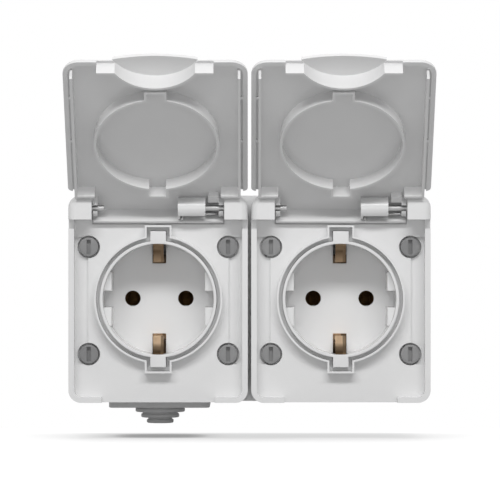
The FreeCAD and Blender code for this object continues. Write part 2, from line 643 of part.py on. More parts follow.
def front_frame(side, sign):
    """Moulded front of one unit: rim, panel, towers, hinge trough, ridge round the well, screw pockets."""
    body = new_body(f"{side}_front_frame", unit_centre(sign))
    inner = half_unit - size.rim_wide
    recess_floor = size.panel_front - size.recess_step
    trough_half = size.tower_inner + size.trough_skin

    def skirt(sketch):
        rounded(sketch, -1 * half_unit, half_unit, -1 * size.low_edge, size.top_edge, size.corner_round)
        low = size.rim_wide - size.low_edge
        high = size.top_edge - size.rim_wide
        rounded(sketch, -1 * inner, inner, low, high, size.corner_round - size.rim_wide)

    def panel(sketch):
        rounded(sketch, -1 * half_unit, half_unit, -1 * size.low_edge, size.top_edge, size.corner_round)

    def trough_block(sketch):
        low = size.trough_low - size.trough_skin
        rectangle(sketch, -1 * trough_half, trough_half, low, size.top_edge)

    def towers(sketch):
        tower_outline(sketch, 1)
        tower_outline(sketch, -1)

    def trough(sketch):
        high = size.top_edge + size.rim_wide
        rectangle(sketch, -1 * size.tower_inner, size.tower_inner, size.trough_low, high)

    def rim_notches(sketch):
        for way in (-1, 1):
            far = way * (half_unit + size.rim_wide)
            rectangle(sketch, way * inner, far, size.rim_notch_low, size.tower_low)

    def rim_gap(sketch):
        low = -1 * size.low_edge - size.rim_wide
        half = size.rim_gap_half
        rectangle(sketch, -1 * half, half, low, size.rim_wide - size.low_edge)

    def recesses(sketch):
        for way in (-1, 1):
            low = -1 * size.recess_drop - size.recess_half
            high = size.recess_half - size.recess_drop
            rectangle(sketch, way * size.recess_edge, way * inner, low, high)

    def ridge(sketch):
        for wall in (size.ridge_wall, 0 * size.ridge_wall):
            reach = size.ridge_tab_reach + wall
            tabbed_circle(sketch, 0, size.ridge_inner + wall, size.ridge_tab_half + wall, reach)

    def opening(sketch):
        gap = size.running_gap
        reach = size.collar_tab_reach + gap
        tabbed_circle(sketch, 0, size.collar_outer + gap, size.collar_tab_half + gap, reach)

    def screw_circles(radius):
        def draw(sketch):
            for across, up in screw_places:
                circle(sketch, across, up, radius)

        return draw

    def pin_bore(sketch):
        circle(sketch, -1 * size.axis_deep, size.axis_up, size.pin_radius + size.running_gap / 4)

    pad(body, "skirt", skirt, frame_back, size.rim_front)
    pad(body, "panel", panel, panel_back, size.panel_front)
    pad(body, "trough_block", trough_block, size.trough_floor - size.trough_skin, size.panel_front)
    pad(body, "towers", towers, panel_back, tower_front)
    pocket(body, "trough", trough, tower_front, size.trough_floor)
    pocket(body, "rim_notches", rim_notches, size.rim_front, size.rim_front - size.rim_notch_deep)
    pocket(body, "rim_gap", rim_gap, size.rim_front, size.panel_front)
    pocket(body, "recesses", recesses, size.panel_front, recess_floor)
    boss_outline = screw_circles(size.pocket_radius + size.boss_wall)
    pad(body, "bosses", boss_outline, frame_back, recess_floor)
    pad(body, "ridge", ridge, size.panel_front, size.collar_front)
    pocket(body, "opening", opening, size.panel_front, panel_back)
    pocket(body, "screw_pockets", screw_circles(size.pocket_radius), size.panel_front, size.pocket_floor)
    shank_hole = screw_circles(size.screw_shank_radius + size.fit_gap)
    pocket(body, "screw_holes", shank_hole, size.pocket_floor, frame_back)
    far = size.tower_inner + size.pin_seat
    pocket(body, "right_pin_bore", pin_bore, far, size.tower_inner, "YZ_Plane")
    pocket(body, "left_pin_bore", pin_bore, -1 * size.tower_inner, -1 * far, "YZ_Plane")

    def tower_top(edge):
        middle = edge.BoundBox.Center
        flat = lies_at(edge, "Y", -1 * tower_front) and lies_at(edge, "Z", size.top_edge)
        return flat and abs(middle.x) > plain(size.tower_inner)

    fillet(body, "tower_tops", tower_top, size.tower_round)
    return body


def socket_insert(side, sign):
    """Well of one unit: cup, collar with two tabs, flange, guide blocks, pin holes and earth clip slots."""
    body = new_body(f"{side}_socket_insert", unit_centre(sign))
    mid_wall = (size.collar_inner + size.collar_outer) / 2

    def cup(sketch):
        circle(sketch, 0, 0, size.collar_outer)

    def collar(sketch):
        tabbed_circle(sketch, 0, size.collar_outer, size.collar_tab_half, size.collar_tab_reach)

    def flange(sketch):
        circle(sketch, 0, 0, size.flange_radius)

    def well(sketch):
        circle(sketch, 0, 0, size.collar_inner)

    def guides(sketch):
        low_end = root(mid_wall * mid_wall - size.guide_low * size.guide_low)
        high_end = root(mid_wall * mid_wall - size.guide_high * size.guide_high)
        for across_way, up_way in ((-1, -1), (1, -1), (1, 1), (-1, 1)):
            chord = across_way * size.guide_chord
            low = up_way * size.guide_low
            high = up_way * size.guide_high
            outer = [(across_way * low_end, low), (across_way * high_end, high)]
            polygon(sketch, [(chord, low)] + outer + [(chord, high)])

    def pin_holes(sketch):
        for way in (-1, 1):
            circle(sketch, way * size.pin_across / 2, 0, size.pin_hole_radius)

    def clip_slots(sketch):
        outer = size.collar_inner + size.fit_gap
        half = size.earth_slot_half
        for way in (-1, 1):
            rectangle(sketch, -1 * half, half, way * size.earth_slot_low, way * outer)

    pad(body, "cup", cup, floor_back, size.collar_front)
    pad(body, "collar", collar, flange_back, size.collar_front)
    pad(body, "flange", flange, flange_back, flange_front)
    pocket(body, "well", well, size.collar_front, floor_front)
    pad(body, "guides", guides, floor_front, size.guide_front)
    pocket(body, "pin_holes", pin_holes, floor_front, floor_back)
    pocket(body, "clip_slots", clip_slots, size.earth_slot_front, floor_back)
    return body


def contact_carrier(side, sign):
    """Insulating block behind a well: a plate on the box posts and a core with contact chambers."""
    body = new_body(f"{side}_contact_carrier", unit_centre(sign))

    def plate(sketch):
        wide, tall = size.carrier_half_wide, size.carrier_half_tall
        rounded(sketch, -1 * wide, wide, -1 * tall, tall, size.corner_round / 2)

    def core(sketch):
        wide, tall = size.core_half_wide, size.core_half_tall
        rectangle(sketch, -1 * wide, wide, -1 * tall, tall)

    def chambers(sketch):
        half = size.leaf_root + size.sheet_thick + size.fit_gap
        tall = size.leaf_half_tall + size.fit_gap
        for way in (-1, 1):
            middle = way * size.pin_across / 2
            rectangle(sketch, middle - half, middle + half, -1 * tall, tall)

    def strip_ways(sketch):
        half = size.leaf_half_tall
        low = -1 * size.core_half_tall - size.fit_gap
        for way in (-1, 1):
            middle = way * size.pin_across / 2
            rectangle(sketch, middle - half, middle + half, low, 0)

    def earth_way(sketch):
        half = size.earth_base_wide / 2 + size.fit_gap
        tall = size.core_half_tall + size.fit_gap
        rectangle(sketch, -1 * half, half, -1 * tall, tall)

    def screw_holes(sketch):
        for way in (-1, 1):
            circle(sketch, way * size.mount_across, 0, size.mount_shank_radius + size.running_gap)

    pad(body, "plate", plate, size.carrier_back, carrier_front)
    pad(body, "core", core, carrier_front, floor_back)
    pocket(body, "chambers", chambers, floor_back, carrier_front)
    pocket(body, "strip_ways", strip_ways, contact_front + size.fit_gap, carrier_front)
    pocket(body, "earth_way", earth_way, floor_back, carrier_front)
    pocket(body, "screw_holes", screw_holes, carrier_front, size.carrier_back)
    return body


def terminal_block(body, across):
    """Clamp block on a contact strip, with a screw hole from the front and a wire hole from below."""
    half = size.terminal_side / 2
    low = -1 * size.terminal_down - half
    high = half - size.terminal_down
    wire_deep = contact_front + size.wire_radius + size.running_gap * 2 + size.sheet_thick

    def block(sketch):
        rectangle(sketch, across - half, across + half, low, high)

    def screw_hole(sketch):
        circle(sketch, across, -1 * size.terminal_down, size.terminal_screw_radius + size.running_gap)

    def wire_hole(sketch):
        circle(sketch, across, -1 * wire_deep, size.wire_radius + size.running_gap)

    pad(body, "block", block, contact_front, block_front)
    pocket(body, "screw_hole", screw_hole, block_front, wire_deep)
    pocket(body, "wire_hole", wire_hole, high, low, "XY_Plane")


def pin_contact(side, sign, name, way):
    """Sprung contact for one pin: base strip, two leaves and a terminal block."""
    body = new_body(f"{side}_{name}_contact", unit_centre(sign))
    pin = way * size.pin_across / 2
    foot = size.leaf_root + size.sheet_thick
    leg = size.leaf_half_tall - size.fit_gap
    half_block = size.terminal_side / 2
    outer = way * (size.terminal_across + half_block)
    block_low = -1 * size.terminal_down - half_block
    block_high = half_block - size.terminal_down
    tall = size.leaf_half_tall

    def strip(sketch):
        corners = [(pin - way * foot, tall), (pin + way * foot, tall), (pin + way * foot, -1 * tall)]
        corners += [(pin + way * leg, -1 * tall), (pin + way * leg, block_high), (outer, block_high)]
        corners += [(outer, block_low), (pin - way * leg, block_low), (pin - way * leg, -1 * tall)]
        corners += [(pin - way * foot, -1 * tall)]
        polygon(sketch, corners)

    def leaves(sketch):
        thick = size.sheet_thick
        root_deep = carrier_front + thick / 2
        pinch_deep = floor_back - 2 * tall
        mouth_deep = floor_back - size.leaf_mouth_deep
        stations = [(size.leaf_root, root_deep), (size.leaf_pinch, pinch_deep)]
        stations += [(size.leaf_mouth, mouth_deep)]
        for turn in (-1, 1):
            inner = [(pin + turn * gap, -1 * deep) for gap, deep in stations]
            outer_side = [(pin + turn * (gap + thick), -1 * deep) for gap, deep in reversed(stations)]
            polygon(sketch, inner + outer_side)

    pad(body, "strip", strip, carrier_front, contact_front)
    pad(body, "leaves", leaves, -1 * tall, tall, "XY_Plane")
    terminal_block(body, way * size.terminal_across)
    return body


def earth_bracket(side, sign):
    """Earth strip with two bent clips that reach through the well floor, and its terminal block."""
    body = new_body(f"{side}_earth_bracket", unit_centre(sign))
    thick = size.sheet_thick
    half = size.earth_base_wide / 2

    def base(sketch):
        low = -1 * size.terminal_down - size.terminal_side / 2
        rectangle(sketch, -1 * half, half, low, size.earth_root + thick)

    def clips(sketch):
        bulge_deep = floor_front + size.well_deep / 2
        tip_deep = size.earth_slot_front - size.fit_gap * 4
        root_deep = floor_back
        stations = [(carrier_front + thick / 2, size.earth_root), (root_deep, size.earth_root)]
        for bend in (-1 * size.earth_bend, size.earth_bend):
            stations.append((bulge_deep + bend, size.earth_bulge))
        stations += [(tip_deep, size.earth_tip)]
        for way in (-1, 1):
            inner = [(-1 * deep, way * up) for deep, up in stations]
            outer = [(-1 * deep, way * (up + thick)) for deep, up in reversed(stations)]
            polygon(sketch, inner + outer)

    pad(body, "base", base, carrier_front, contact_front)
    pad(body, "clips", clips, -1 * size.earth_wide / 2, size.earth_wide / 2, "YZ_Plane")
    terminal_block(body, 0 * size.terminal_across)
    return body


def slotted_screws(name, sign, places, head_back_deep, head_thick, head_radius, shank_radius, shank_long):
    """Screws with slotted round heads, driven from the front."""
    body = new_body(name, unit_centre(sign))
    head_front_deep = head_back_deep + head_thick

    def circles(radius):
        def draw(sketch):
            for across, up in places:
                circle(sketch, across, up, radius)

        return draw

    def slots(sketch):
        wide = head_radius / 6
        long = head_radius + size.running_gap
        for across, up in places:
            rectangle(sketch, across - wide, across + wide, up - long, up + long)

    pad(body, "shanks", circles(shank_radius), head_back_deep - shank_long, head_back_deep)
    pad(body, "heads", circles(head_radius), head_back_deep, head_front_deep)
    pocket(body, "slots", slots, head_front_deep, head_front_deep - head_thick / 2)
    return body


def terminal_screws(side, sign):
    down = -1 * size.terminal_down
    places = [(way * size.terminal_across, down) for way in (-1, 0, 1)]
    wire_top = contact_front + 2 * size.wire_radius + size.running_gap * 3 + size.sheet_thick
    head_back_deep = block_front + size.running_gap
    shank_long = head_back_deep - wire_top
    return slotted_screws(
        f"{side}_terminal_screws",
        sign,
        places,
        head_back_deep,
        size.mount_head_thick,
        size.terminal_head_radius,
        size.terminal_screw_radius,
        shank_long,
    )


def carrier_screws(side, sign):
    places = [(way * size.mount_across, NOTHING) for way in (-1, 1)]
    return slotted_screws(
        f"{side}_carrier_screws",
        sign,
        places,
        carrier_front,
        size.mount_head_thick,
        size.mount_head_radius,
        size.mount_shank_radius,
        size.mount_long,
    )


def cover_screw(side, sign, corner, across, up):
    """Quarter-turn plastic screw that holds a frame to the box, with a closed slot in its head."""
    body = new_body(f"{side}_{corner}_screw", unit_centre(sign) + across, 0, up)

    def head(sketch):
        circle(sketch, 0, 0, size.screw_head_radius)

    def shank(sketch):
        circle(sketch, 0, 0, size.screw_shank_radius)

    def slot(sketch):
        wide, tall = size.slot_wide / 2, size.slot_long / 2
        rectangle(sketch, -1 * wide, wide, -1 * tall, tall)

    pad(body, "shank", shank, head_back - size.screw_long, head_back)
    pad(body, "head", head, head_back, head_front)
    pocket(body, "slot", slot, head_front, head_front - size.slot_deep)
    return body


def hinge_pin(name, sign, near, far):
    """Steel pin along the hinge line between two places across the unit."""
    body = new_body(name, unit_centre(sign), size.axis_deep, size.axis_up)

    def section(sketch):
        circle(sketch, 0, 0, size.pin_radius)

    pad(body, "rod", section, near, far, "YZ_Plane")
    return body


def hinge_spring(side, sign):
    """Torsion spring round the long pin: coil, a leg to the ear and a leg out through the barrel slot."""
    coil = plain(size.coil_radius)
    wire = plain(size.coil_wire) / 2
    turns = plain(size.coil_turns)
    pitch = plain(size.coil_pitch)
    helix = Part.makeHelix(pitch, pitch * turns, coil)
    ring = Part.Wire(Part.makeCircle(wire, Vector(coil, 0, 0), Vector(0, 1, 0)))
    turned = Part.Wire(helix.Edges).makePipeShell([ring], True, True)
    turned.rotate(Vector(0, 0, 0), Vector(0, 1, 0), 90)
    near = plain(size.barrel_near + size.coil_start)
    turned.translate(Vector(near, 0, 0))
    end = turned.BoundBox.XMax - wire
    leg_end = plain(size.ear_inner) - plain(size.fit_gap)
    ear_leg = Part.makeCylinder(wire, leg_end - end, Vector(end, 0, -coil), Vector(1, 0, 0))
    lean = math.radians(180 - plain(size.open_angle))
    across = Vector(0, -math.cos(lean), -math.sin(lean))
    start = Vector(near, coil * math.sin(lean), -coil * math.cos(lean))
    slot_leg = Part.makeCylinder(wire, plain(size.barrel_radius), start, across)
    spring = turned.fuse([ear_leg, slot_leg])
    feature = doc.addObject("Part::Feature", f"{side}_hinge_spring")
    feature.Label = f"{side}_hinge_spring"
    feature.Shape = spring.removeSplitter()
    bind(feature, "Placement.Base.x", unit_centre(sign))
    bind(feature, "Placement.Base.y", -1 * size.axis_deep)
    bind(feature, "Placement.Base.z", size.axis_up)
    SUB_PARTS.append(feature)
    return feature


def lid(side, sign):
    """Hinged lid, drawn closed about its hinge line and turned to where it stands open."""
    body = new_body(f"{side}_lid", unit_centre(sign), size.axis_deep, size.axis_up)
    body.Placement.Rotation = Rotation(Vector(-1, 0, 0), plain(size.open_angle))
    bind(body, "Placement.Rotation.Angle", size.open_angle)
    foot = -1 * size.rib_foot
    front_reach = size.lid_reach - size.front_wall_inset
    wall = size.rib_wall
    rib_outer = half_unit - size.rib_inset
    rib_inner = rib_outer - wall
    grip_up = -1 * size.grip_top - size.grip_radius
    reach = size.lid_reach
    neck = size.ear_outer

    def plate(sketch):
        low, shoulder, end = -1 * reach, -1 * size.shoulder_reach, size.lid_end
        corners = [(-1 * half_unit, low), (half_unit, low), (half_unit, shoulder), (neck, shoulder)]
        corners += [(neck, end), (-1 * neck, end), (-1 * neck, shoulder), (-1 * half_unit, shoulder)]
        polygon(sketch, corners)

    def field(sketch):
        half = half_unit - size.lid_strip_wide
        low = size.lid_strip_wide - reach
        past = size.lid_end + size.lid_corner_round
        rounded(sketch, -1 * half, half, low, past, size.lid_corner_round - size.lid_strip_wide)

    def strip_gap(sketch):
        half = size.rim_gap_half
        wide = size.lid_strip_wide
        rectangle(sketch, -1 * half, half, -1 * reach - wide, 2 * wide - reach)

    def ribs(sketch):
        near, far = -1 * size.notch_reach, -1 * size.rib_end
        for way in (-1, 1):
            corners = [(way * rib_outer, far), (way * rib_outer, near), (way * size.notch_inner, near)]
            corners += [(way * size.notch_inner, near - wall), (way * rib_inner, near - wall)]
            corners += [(way * rib_inner, far)]
            polygon(sketch, corners)

    def webs(sketch):
        for way in (-1, 1):
            for web_reach in (size.web_reach_low, size.web_reach_high):
                inner = way * (rib_outer - wall / 2)
                outer = way * (half_unit - size.lid_strip_wide / 2)
                rectangle(sketch, inner, outer, -1 * web_reach - wall, -1 * web_reach)

    def front_walls(sketch):
        low = -1 * front_reach
        drop = front_reach - size.grip_top - size.grip_radius
        near = root(size.grip_radius * size.grip_radius - drop * drop)
        for way in (-1, 1):
            rectangle(sketch, way * (near - wall), way * size.front_wall_half, low, low + wall)

    def end_wall(sketch):
        rectangle(sketch, -1 * size.ear_outer, size.ear_outer, size.lid_end - wall, size.lid_end)

    def ring(sketch):
        middle = -1 * size.axis_up
        for inset in (0 * wall, wall):
            half = size.ring_tab_half - inset
            tabbed_circle(sketch, middle, size.ring_outer - inset, half, size.ring_tab_reach - inset)

    def grip_hole(sketch):
        circle(sketch, 0, grip_up, size.grip_radius - wall)

    def grip_wall(sketch):
        drop = -1 * front_reach
        rows = []
        for radius in (size.grip_radius, size.grip_radius - wall):
            start = math.asin(plain(drop - grip_up) / plain(radius))
            rows.append(arc(sketch, grip_up, radius, start, math.pi - start))
        outer, inner = rows
        for row, radius in ((outer, size.grip_radius), (inner, size.grip_radius - wall)):
            place(sketch, row, 3, 0, grip_up)
            bound = sketch.addConstraint(Sketcher.Constraint("Radius", row, plain(radius)))
            sketch.setExpression(f"Constraints[{bound}]", radius.text)
        for end in (1, 2):
            points = [sketch.getPoint(row, end) for row in (outer, inner)]
            link = sketch.addGeometry(Part.LineSegment(*points), False)
            sketch.addConstraint(Sketcher.Constraint("Coincident", outer, end, link, 1))
            sketch.addConstraint(Sketcher.Constraint("Coincident", link, 2, inner, end))
            sketch.addConstraint(Sketcher.Constraint("Horizontal", link))
            place(sketch, outer, end, None, drop)

    def lip_section(sketch):
        """Section of the dome through its middle; its axis is a construction line."""
        up = -1 * size.lip_middle
        drop = size.lid_outer - root(size.lip_radius * size.lip_radius - size.lip_base * size.lip_base)
        centre = Vector(-plain(drop), plain(up), 0)
        rows = []
        for radius in (size.lip_radius, size.lip_radius - size.lip_thick):
            ring_curve = Part.Circle(centre, Vector(0, 0, 1), plain(radius))
            lean = math.asin(plain(size.lip_base) / plain(radius))
            row = sketch.addGeometry(Part.ArcOfCircle(ring_curve, math.pi - lean, math.pi), False)
            place(sketch, row, 3, -1 * drop, up)
            bound = sketch.addConstraint(Sketcher.Constraint("Radius", row, plain(radius)))
            sketch.setExpression(f"Constraints[{bound}]", radius.text)
            place(sketch, row, 1, None, up + size.lip_base)
            place(sketch, row, 2, None, up)
            rows.append(row)
        outer, inner = rows
        for end in (1, 2):
            points = [sketch.getPoint(row, end) for row in (outer, inner)]
            link = sketch.addGeometry(Part.LineSegment(*points), False)
            sketch.addConstraint(Sketcher.Constraint("Coincident", outer, end, link, 1))
            sketch.addConstraint(Sketcher.Constraint("Coincident", link, 2, inner, end))
        ends = [Vector(side, plain(up), 0) for side in (-1, 1)]
        axis = sketch.addGeometry(Part.LineSegment(*ends), True)
        place(sketch, axis, 1, -1, up)
        place(sketch, axis, 2, 1, up)

    def beyond_lip(sketch):
        far = 2 * size.grip_radius
        rectangle(sketch, -1 * far, far, -1 * size.lip_reach - 2 * far, -1 * size.lip_reach)

    def barrel(sketch):
        circle(sketch, 0, 0, size.barrel_radius)

    def barrel_bore(sketch):
        circle(sketch, 0, 0, size.barrel_bore)

    def barrel_slot(sketch):
        near = size.barrel_near + size.coil_wire
        low = size.running_gap
        rectangle(sketch, near, size.barrel_far + size.fit_gap, low, low + size.barrel_slot)

    def ear(sketch):
        circle(sketch, 0, 0, size.ear_radius)

    def ear_web(sketch):
        half = size.ear_radius
        rectangle(sketch, -1 * size.lid_inner - wall, 0, -1 * half, half)

    def ear_bore(sketch):
        circle(sketch, 0, 0, size.pin_radius + size.running_gap)

    def ear_mouth(sketch):
        half = size.ear_mouth_half * math.sqrt(0.5)
        far = size.ear_radius * math.sqrt(0.5) + half
        corners = [(half, half), (far + half, half - far)]
        corners += [(far - half, -1 * half - far), (-1 * half, -1 * half)]
        polygon(sketch, corners)

    def stay(sketch):
        rectangle(sketch, size.stay_inner, size.ear_inner, -1 * size.stay_far, -1 * size.stay_near)

    pad(body, "plate", plate, size.lid_strip, size.lid_outer)

    beside_neck = plain(neck + half_unit) / 2

    def corner(edge):
        box = edge.BoundBox
        upright = box.XLength < 0.01 and box.ZLength < 0.01
        return upright and abs(box.XMax) > beside_neck and box.ZMax < -plain(reach) / 2

    def shoulder(edge):
        box = edge.BoundBox
        upright = box.XLength < 0.01 and box.ZLength < 0.01
        return upright and abs(box.XMax) > beside_neck and box.ZMax > -plain(reach) / 2

    fillet(body, "corners", corner, size.lid_corner_round)
    fillet(body, "shoulders", shoulder, size.lid_strip_wide)
    fillet(body, "outer_edges", lambda edge: lies_at(edge, "Y", -1 * size.lid_outer), size.lid_edge_round)
    pocket(body, "field", field, size.lid_inner, size.lid_strip)
    pocket(body, "strip_gap", strip_gap, size.lid_inner, size.lid_strip)
    pad(body, "ribs", ribs, foot, size.lid_inner)
    pad(body, "webs", webs, size.lid_strip, size.lid_inner)
    pad(body, "front_walls", front_walls, foot, size.lid_inner)
    pad(body, "end_wall", end_wall, -1 * size.end_wall_foot, size.lid_inner)
    pad(body, "ring", ring, foot, size.lid_inner)
    pad(body, "stay", stay, size.stay_foot, size.lid_inner)
    pocket(body, "grip_hole", grip_hole, size.lid_outer, size.lid_strip)
    pad(body, "grip_wall", grip_wall, foot, size.lid_outer)
    before = settle(body)
    sketch = new_sketch(body, "lip_section", "YZ_Plane")
    lip_section(sketch)
    doc.recompute()
    lip = body.newObject("PartDesign::Revolution", "lip")
    lip.Profile = sketch
    lip.ReferenceAxis = (sketch, ["Axis0"])
    lip.Angle = 360
    if settle(body) <= before:
        raise RuntimeError("the lip adds nothing")
    pocket(body, "lip_edge", beyond_lip, size.lid_outer + size.lip_radius, foot)
    pad(body, "barrel", barrel, size.barrel_near, size.barrel_far, "YZ_Plane")
    for way, name in ((-1, "left"), (1, "right")):
        sides = (size.ear_inner, size.ear_outer)
        near, far = sides if way > 0 else (-1 * size.ear_outer, -1 * size.ear_inner)
        pad(body, f"{name}_ear", ear, near, far, "YZ_Plane")
        pad(body, f"{name}_ear_web", ear_web, near, far, "YZ_Plane")
        pocket(body, f"{name}_ear_bore", ear_bore, far, near, "YZ_Plane")
        pocket(body, f"{name}_ear_mouth", ear_mouth, far, near, "YZ_Plane")
    pocket(body, "barrel_bore", barrel_bore, size.barrel_far, size.barrel_near, "YZ_Plane")
    pocket(body, "barrel_slot", barrel_slot, NOTHING, -1 * size.barrel_radius - 1)
    return body


def build_unit(side, sign):
    """Every piece of one unit."""
    frame_seal(side, sign)
    front_frame(side, sign)
    socket_insert(side, sign)
    contact_carrier(side, sign)
    pin_contact(side, sign, "line", -1)
    pin_contact(side, sign, "neutral", 1)
    earth_bracket(side, sign)
    terminal_screws(side, sign)
    carrier_screws(side, sign)
    corners = ("lower_left", "lower_right", "upper_right", "upper_left")
    for corner, (across, up) in zip(corners, screw_places):
        cover_screw(side, sign, corner, across, up)
    seat_end = size.tower_inner + size.pin_seat - size.running_gap
    hinge_pin(f"{side}_stub_pin", sign, -1 * seat_end, -1 * size.stub_reach)
    hinge_pin(f"{side}_spring_pin", sign, size.barrel_near + size.running_gap, seat_end)
    hinge_spring(side, sign)
    lid(side, sign)


back_box()
cable_gland()
for side, sign in SIDES:
    build_unit(side, sign)

doc.recompute()
for thing in doc.Objects:
    if "Invalid" in thing.State or "Error" in thing.State:
        raise RuntimeError(f"{thing.Label} has failed")

os.makedirs("parts", exist_ok=True)
for part in SUB_PARTS:
    if part.Shape.isNull() or not part.Shape.isValid():
        raise RuntimeError(f"{part.Label} has no valid shape")
    part.Shape.exportStep(f"parts/{part.Label}.step")
print(f"{len(SUB_PARTS)} sub-parts written")
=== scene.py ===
"""A double outdoor socket: two hinged lids over two round wells, on one back box with a stepped gland."""
import json
import math

import bmesh
import bpy
from bpy.props import FloatProperty, FloatVectorProperty, IntProperty, PointerProperty
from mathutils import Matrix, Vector


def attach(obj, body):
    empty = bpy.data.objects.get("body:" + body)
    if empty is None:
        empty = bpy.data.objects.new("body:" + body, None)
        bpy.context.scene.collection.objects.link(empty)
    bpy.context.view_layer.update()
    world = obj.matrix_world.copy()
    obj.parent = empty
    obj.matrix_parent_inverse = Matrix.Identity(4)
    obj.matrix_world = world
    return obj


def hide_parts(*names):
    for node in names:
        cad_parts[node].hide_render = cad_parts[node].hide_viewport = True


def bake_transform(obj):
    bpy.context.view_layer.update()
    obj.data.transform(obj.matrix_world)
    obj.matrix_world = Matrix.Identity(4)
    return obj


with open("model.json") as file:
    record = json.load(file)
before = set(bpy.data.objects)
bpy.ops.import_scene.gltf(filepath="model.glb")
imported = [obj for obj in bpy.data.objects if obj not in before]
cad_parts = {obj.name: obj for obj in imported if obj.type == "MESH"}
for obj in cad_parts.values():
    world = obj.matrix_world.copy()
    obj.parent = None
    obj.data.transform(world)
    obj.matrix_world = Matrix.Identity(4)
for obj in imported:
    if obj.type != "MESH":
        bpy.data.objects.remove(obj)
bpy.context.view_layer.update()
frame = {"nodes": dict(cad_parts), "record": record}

bl_info = {
    "name": "Double outdoor socket",
    "version": (1, 0, 0),
    "blender": (4, 5, 0),
    "location": "3D View > Sidebar > Socket",
    "description": "Finishes the mouldings, screws, contacts and gland of a double outdoor socket",
    "category": "Add Mesh",
}

# The two units, their screws and their hinges
UNITS = ("left", "right")
COVER_SCREWS = ("lower_left_screw", "lower_right_screw", "upper_right_screw", "upper_left_screw")
HINGES = {joint["child"]: joint["pos_m"] for joint in frame["record"]["behaviour"]["joints"]}
UNIT_MIDDLE = HINGES["right_lid"][0]

# Limits for merging, rounding and shading the meshes
SAME_POINT = 1e-6
FLAT_ENOUGH = math.radians(0.6)
SHARP = math.radians(40)
SMOOTH_BELOW = math.radians(32)

# The part of a noise pattern that is used, for colours and for numbers
COLOUR_RANGE = (0.35, 0.65)
NUMBER_RANGE = (0.3, 0.7)

# Marks of brushed metal: stretched along the first axis, with their depth
SHEET_MARKS = (400, 6000, 6000)
WIRE_MARKS = (600, 5000, 5000)
MARK_DEPTH = 0.00001

# Painted shade and painted highlights along the earth clips: the share of the bright colour, by height from
# their lowest point to their highest; dark where the clips bend away from the light, bright where they
# catch it
CLIP_HEIGHTS = (-0.020, 0.020)
CLIP_PAINTED_LIGHT_BANDS = (
    (0.03, 0.0), (0.075, 0.22), (0.11, 0.9), (0.17, 1.0), (0.5, 0.5),
    (0.82, 0.4), (0.87, 0.22), (0.925, 0.02), (0.945, 0.12), (0.98, 0.08))

# The right leaf of each clip is darker, a painted shade for the leaf that lies in shadow: where it starts,
# from the middle of the unit, how well its colour covers the bands, and the share of bright in that colour
SIDE_LEAF = (0.0007, 0.0009)
SIDE_LEAF_COVER = 0.75
SIDE_LEAF_BRIGHT = 0.1

# The floor: its middle and size, its colours for the eye and for bounced light, and how its glow grows
# towards the wall, a painted light that washes out the object's cast shadow behind it
FLOOR_BACK = -0.335
FLOOR_SIZE = (1.1, 0.73, 1)
FLOOR_SEEN = (0.3, 0.3, 0.3, 1)
FLOOR_BOUNCE = (0.47, 0.47, 0.47, 1)
FLOOR_GLOW_FROM = (-0.004, 0.022)
FLOOR_GLOW = (0.8, 1.2)

# The point that the lamps look at
LAMP_AIM = (0, -0.03, 0.02)


# Settings

class SocketColours(bpy.types.PropertyGroup):
    """Colours of the finishes."""
    shell: FloatVectorProperty(
        name="Shell", description="Colour of the white mouldings", subtype="COLOR",
        size=4, min=0, max=1, default=(0.78, 0.78, 0.78, 1))
    shell_shade: FloatVectorProperty(
        name="Shell shade", description="Second colour of the white mouldings, mixed in as a faint cloud",
        subtype="COLOR", size=4, min=0, max=1, default=(0.765, 0.765, 0.767, 1))
    screw: FloatVectorProperty(
        name="Screws", description="Colour of the cover screws", subtype="COLOR",
        size=4, min=0, max=1, default=(0.265, 0.265, 0.267, 1))
    screw_shade: FloatVectorProperty(
        name="Screw shade", description="Second colour of the cover screws", subtype="COLOR",
        size=4, min=0, max=1, default=(0.205, 0.205, 0.208, 1))
    rubber: FloatVectorProperty(
        name="Rubber", description="Colour of the gland and the seals", subtype="COLOR",
        size=4, min=0, max=1, default=(0.71, 0.71, 0.712, 1))
    rubber_shade: FloatVectorProperty(
        name="Rubber shade", description="Second colour of the gland and the seals", subtype="COLOR",
        size=4, min=0, max=1, default=(0.66, 0.66, 0.662, 1))
    # The clip colours are painted light: the first is the lit brass with its painted highlight, the second
    # a painted shade
    clip: FloatVectorProperty(
        name="Clips", description="Colour of the earth clips where plugs rub them bright", subtype="COLOR",
        size=4, min=0, max=1, default=(0.86, 0.63, 0.42, 1))
    clip_painted_shade: FloatVectorProperty(
        name="Clip shade", description="Colour of the earth clips at their dull roots", subtype="COLOR",
        size=4, min=0, max=1, default=(0.078, 0.051, 0.029, 1))
    leaf: FloatVectorProperty(
        name="Leaves", description="Colour of the tarnished leaves behind the pin holes", subtype="COLOR",
        size=4, min=0, max=1, default=(0.20, 0.11, 0.045, 1))
    leaf_shade: FloatVectorProperty(
        name="Leaf shade", description="Darker colour of those leaves", subtype="COLOR",
        size=4, min=0, max=1, default=(0.10, 0.055, 0.025, 1))
    steel: FloatVectorProperty(
        name="Steel", description="Colour of the pins, springs and inner screws", subtype="COLOR",
        size=4, min=0, max=1, default=(0.42, 0.42, 0.42, 1))
    steel_shade: FloatVectorProperty(
        name="Steel shade", description="Darker colour of that steel", subtype="COLOR",
        size=4, min=0, max=1, default=(0.3444, 0.3444, 0.3444, 1))


